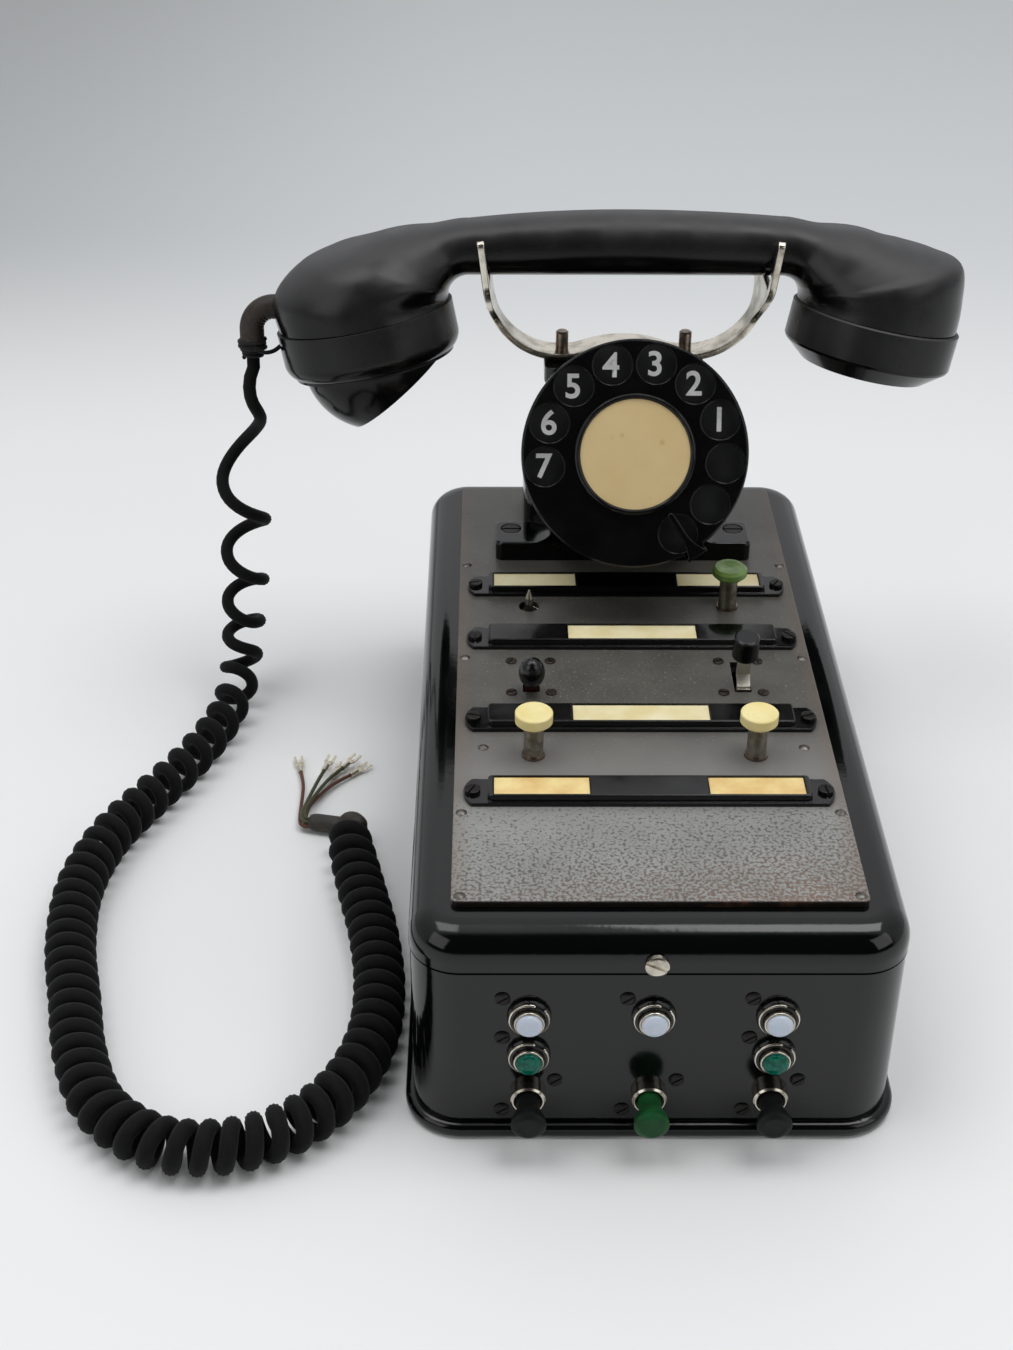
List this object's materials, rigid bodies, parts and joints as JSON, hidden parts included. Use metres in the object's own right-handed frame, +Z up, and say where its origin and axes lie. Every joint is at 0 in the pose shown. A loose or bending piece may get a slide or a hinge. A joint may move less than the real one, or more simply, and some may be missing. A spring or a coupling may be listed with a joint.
{
  "type": "switchboard telephone",
  "caption": "Desk switchboard telephone: black case with keyed control panel, lamps and buttons, dial on a pedestal, sprung cradle, handset and curly cord.",
  "frame": {"origin": "centre of the case's flat underside, on the table", "axes": "+X to the right, +Y to the back, +Z up, seen from the side with the lamps and buttons"},
  "size_m": [0.3061, 0.2884, 0.1894],
  "materials": {
    "black_paint": "gloss",
    "panel_metal": "worn satin",
    "nickel": "aged polish",
    "black_metal": "satin",
    "steel": "satin",
    "bakelite": "gloss",
    "brown_plastic": "matte",
    "ivory": "gloss",
    "dark_stem": "satin",
    "card": "matte",
    "green_cap": "gloss",
    "dark_green": "gloss",
    "white_glass": "gloss",
    "green_glass": "gloss",
    "bulb_glass": "gloss",
    "brass": "satin",
    "cord_black": "satin",
    "brown_rubber": "matte",
    "grey_rubber": "matte",
    "braid": "matte"
  },
  "bodies": {
    "base": {"base_plate": "black_paint", "base_screws": "steel", "lower_case": "black_paint", "top_cover": "black_paint", "cover_screws": "nickel", "cable_bushes": "brown_plastic", "control_panel": "panel_metal", "panel_rivets": "steel", "label_rail_rear": "black_metal", "label_rail_upper": "black_metal", "label_rail_lower": "black_metal", "label_rail_front": "black_metal", "label_cards": "card", "panel_screws": "black_metal", "lever_key_frames": "steel", "push_key_guides": "steel", "lamp_bezels": "nickel", "white_lenses": "white_glass", "green_lenses": "green_glass", "lamp_bulbs": "bulb_glass", "front_screws": "black_metal", "button_collars": "nickel", "button_contacts": "brass", "terminal_strip": "brown_plastic", "dial_pedestal": "black_paint", "pedestal_screws": "black_metal", "hook_guide": "black_metal", "hook_contacts": "brass", "dial_can": "steel", "number_plate": "black_metal", "finger_stop": "black_metal"},
    "dial": {"finger_wheel": "black_metal", "dial_spindle": "steel", "dial_disc": "card", "disc_ring": "black_metal"},
    "cradle": {"cradle_strip": "nickel", "cradle_posts": "nickel"},
    "handset": {"handset_handle": "bakelite", "mouthpiece_ring": "bakelite", "mouthpiece_horn": "bakelite", "earpiece_cap": "bakelite", "voice_capsules": "steel", "cord_sleeve": "brown_rubber", "handset_cord": "cord_black", "cord_end_sleeve": "grey_rubber", "cord_wires": "braid"},
    "green_key": {"green_key_stem": "dark_stem", "green_key_cap": "green_cap"},
    "bare_key": {"bare_key_pin": "nickel"},
    "left_ivory_key": {"left_ivory_stem": "dark_stem", "left_ivory_cap": "ivory"},
    "right_ivory_key": {"right_ivory_stem": "dark_stem", "right_ivory_cap": "ivory"},
    "left_lever_key": {"left_lever": "nickel", "left_lever_knob": "bakelite"},
    "right_lever_key": {"right_lever": "nickel", "right_lever_knob": "bakelite"},
    "left_push_button": {"left_button": "bakelite"},
    "middle_push_button": {"middle_button": "dark_green"},
    "right_push_button": {"right_button": "bakelite"}
  },
  "joints": [
    {"name": "dial_turn", "type": "hinge", "parent": "base", "child": "dial", "pos_m": [0, 0.0345, 0.134], "axis": [0, -0.9205, 0.3907], "range_deg": [-244, 83]},
    {"name": "cradle_rise", "type": "slide", "parent": "base", "child": "cradle", "axis": [0, 0, 1], "range_m": [0, 0.005], "stiffness_N_per_m": 120, "springref_m": 0.012},
    {"name": "handset_lift", "type": "slide", "parent": "cradle", "child": "handset", "axis": [0, 0, 1], "range_m": [0, 0.08]},
    {"name": "green_key_press", "type": "slide", "parent": "base", "child": "green_key", "axis": [0, 0, -1], "range_m": [0, 0.004], "stiffness_N_per_m": 200, "springref_m": -0.003},
    {"name": "bare_key_press", "type": "slide", "parent": "base", "child": "bare_key", "axis": [0, 0, -1], "range_m": [0, 0.004], "stiffness_N_per_m": 200, "springref_m": -0.003},
    {"name": "left_ivory_press", "type": "slide", "parent": "base", "child": "left_ivory_key", "axis": [0, 0, -1], "range_m": [0, 0.004], "stiffness_N_per_m": 200, "springref_m": -0.003},
    {"name": "right_ivory_press", "type": "slide", "parent": "base", "child": "right_ivory_key", "axis": [0, 0, -1], "range_m": [0, 0.004], "stiffness_N_per_m": 200, "springref_m": -0.003},
    {"name": "left_lever_throw", "type": "hinge", "parent": "base", "child": "left_lever_key", "pos_m": [-0.0337, -0.0083, 0.054], "axis": [1, 0, 0], "range_deg": [-36, 0]},
    {"name": "right_lever_throw", "type": "hinge", "parent": "base", "child": "right_lever_key", "pos_m": [0.0337, -0.0083, 0.054], "axis": [1, 0, 0], "range_deg": [-36, 0]},
    {"name": "left_button_press", "type": "slide", "parent": "base", "child": "left_push_button", "axis": [0, 1, 0], "range_m": [0, 0.0025], "stiffness_N_per_m": 200, "springref_m": -0.003},
    {"name": "middle_button_press", "type": "slide", "parent": "base", "child": "middle_push_button", "axis": [0, 1, 0], "range_m": [0, 0.0025], "stiffness_N_per_m": 200, "springref_m": -0.003},
    {"name": "right_button_press", "type": "slide", "parent": "base", "child": "right_push_button", "axis": [0, 1, 0], "range_m": [0, 0.0025], "stiffness_N_per_m": 200, "springref_m": -0.003}
  ]
}
